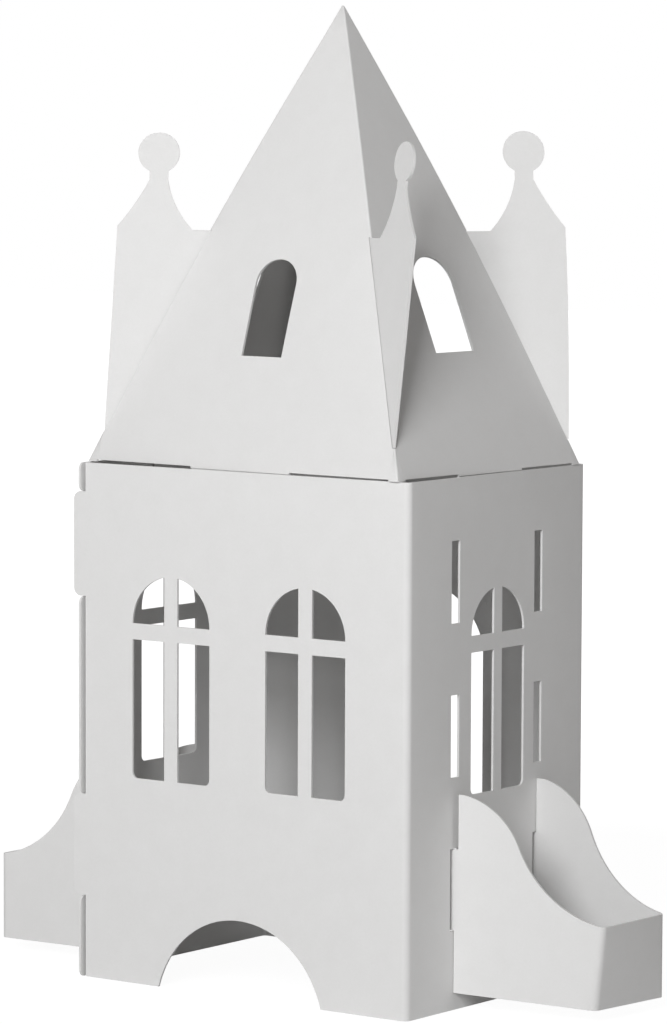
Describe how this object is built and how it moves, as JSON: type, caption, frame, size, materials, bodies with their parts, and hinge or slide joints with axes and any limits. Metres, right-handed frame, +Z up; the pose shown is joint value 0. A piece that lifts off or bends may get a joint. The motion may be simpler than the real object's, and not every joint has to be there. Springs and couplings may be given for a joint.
{
  "type": "cardboard castle",
  "caption": "Table-top castle cut and folded from thin white board: a square tower with arched windows and doors, a pyramid roof with corner turrets, and a low pocket wing on each side.",
  "frame": {"origin": "on the table, under the middle of the castle's bounding box", "axes": "+Z up; the front, with two windows and the low door arch, faces -Y; +X is to the right seen from the front"},
  "size_m": [0.3612, 0.1552, 0.4845],
  "materials": {
    "white_board": "matte uncoated white board"
  },
  "bodies": {
    "root": {"tower_walls": "white_board", "roof": "white_board", "turret_front_left": "white_board", "turret_front_right": "white_board", "turret_back_right": "white_board", "turret_back_left": "white_board", "wing_right": "white_board", "wing_left": "white_board"}
  },
  "joints": []
}
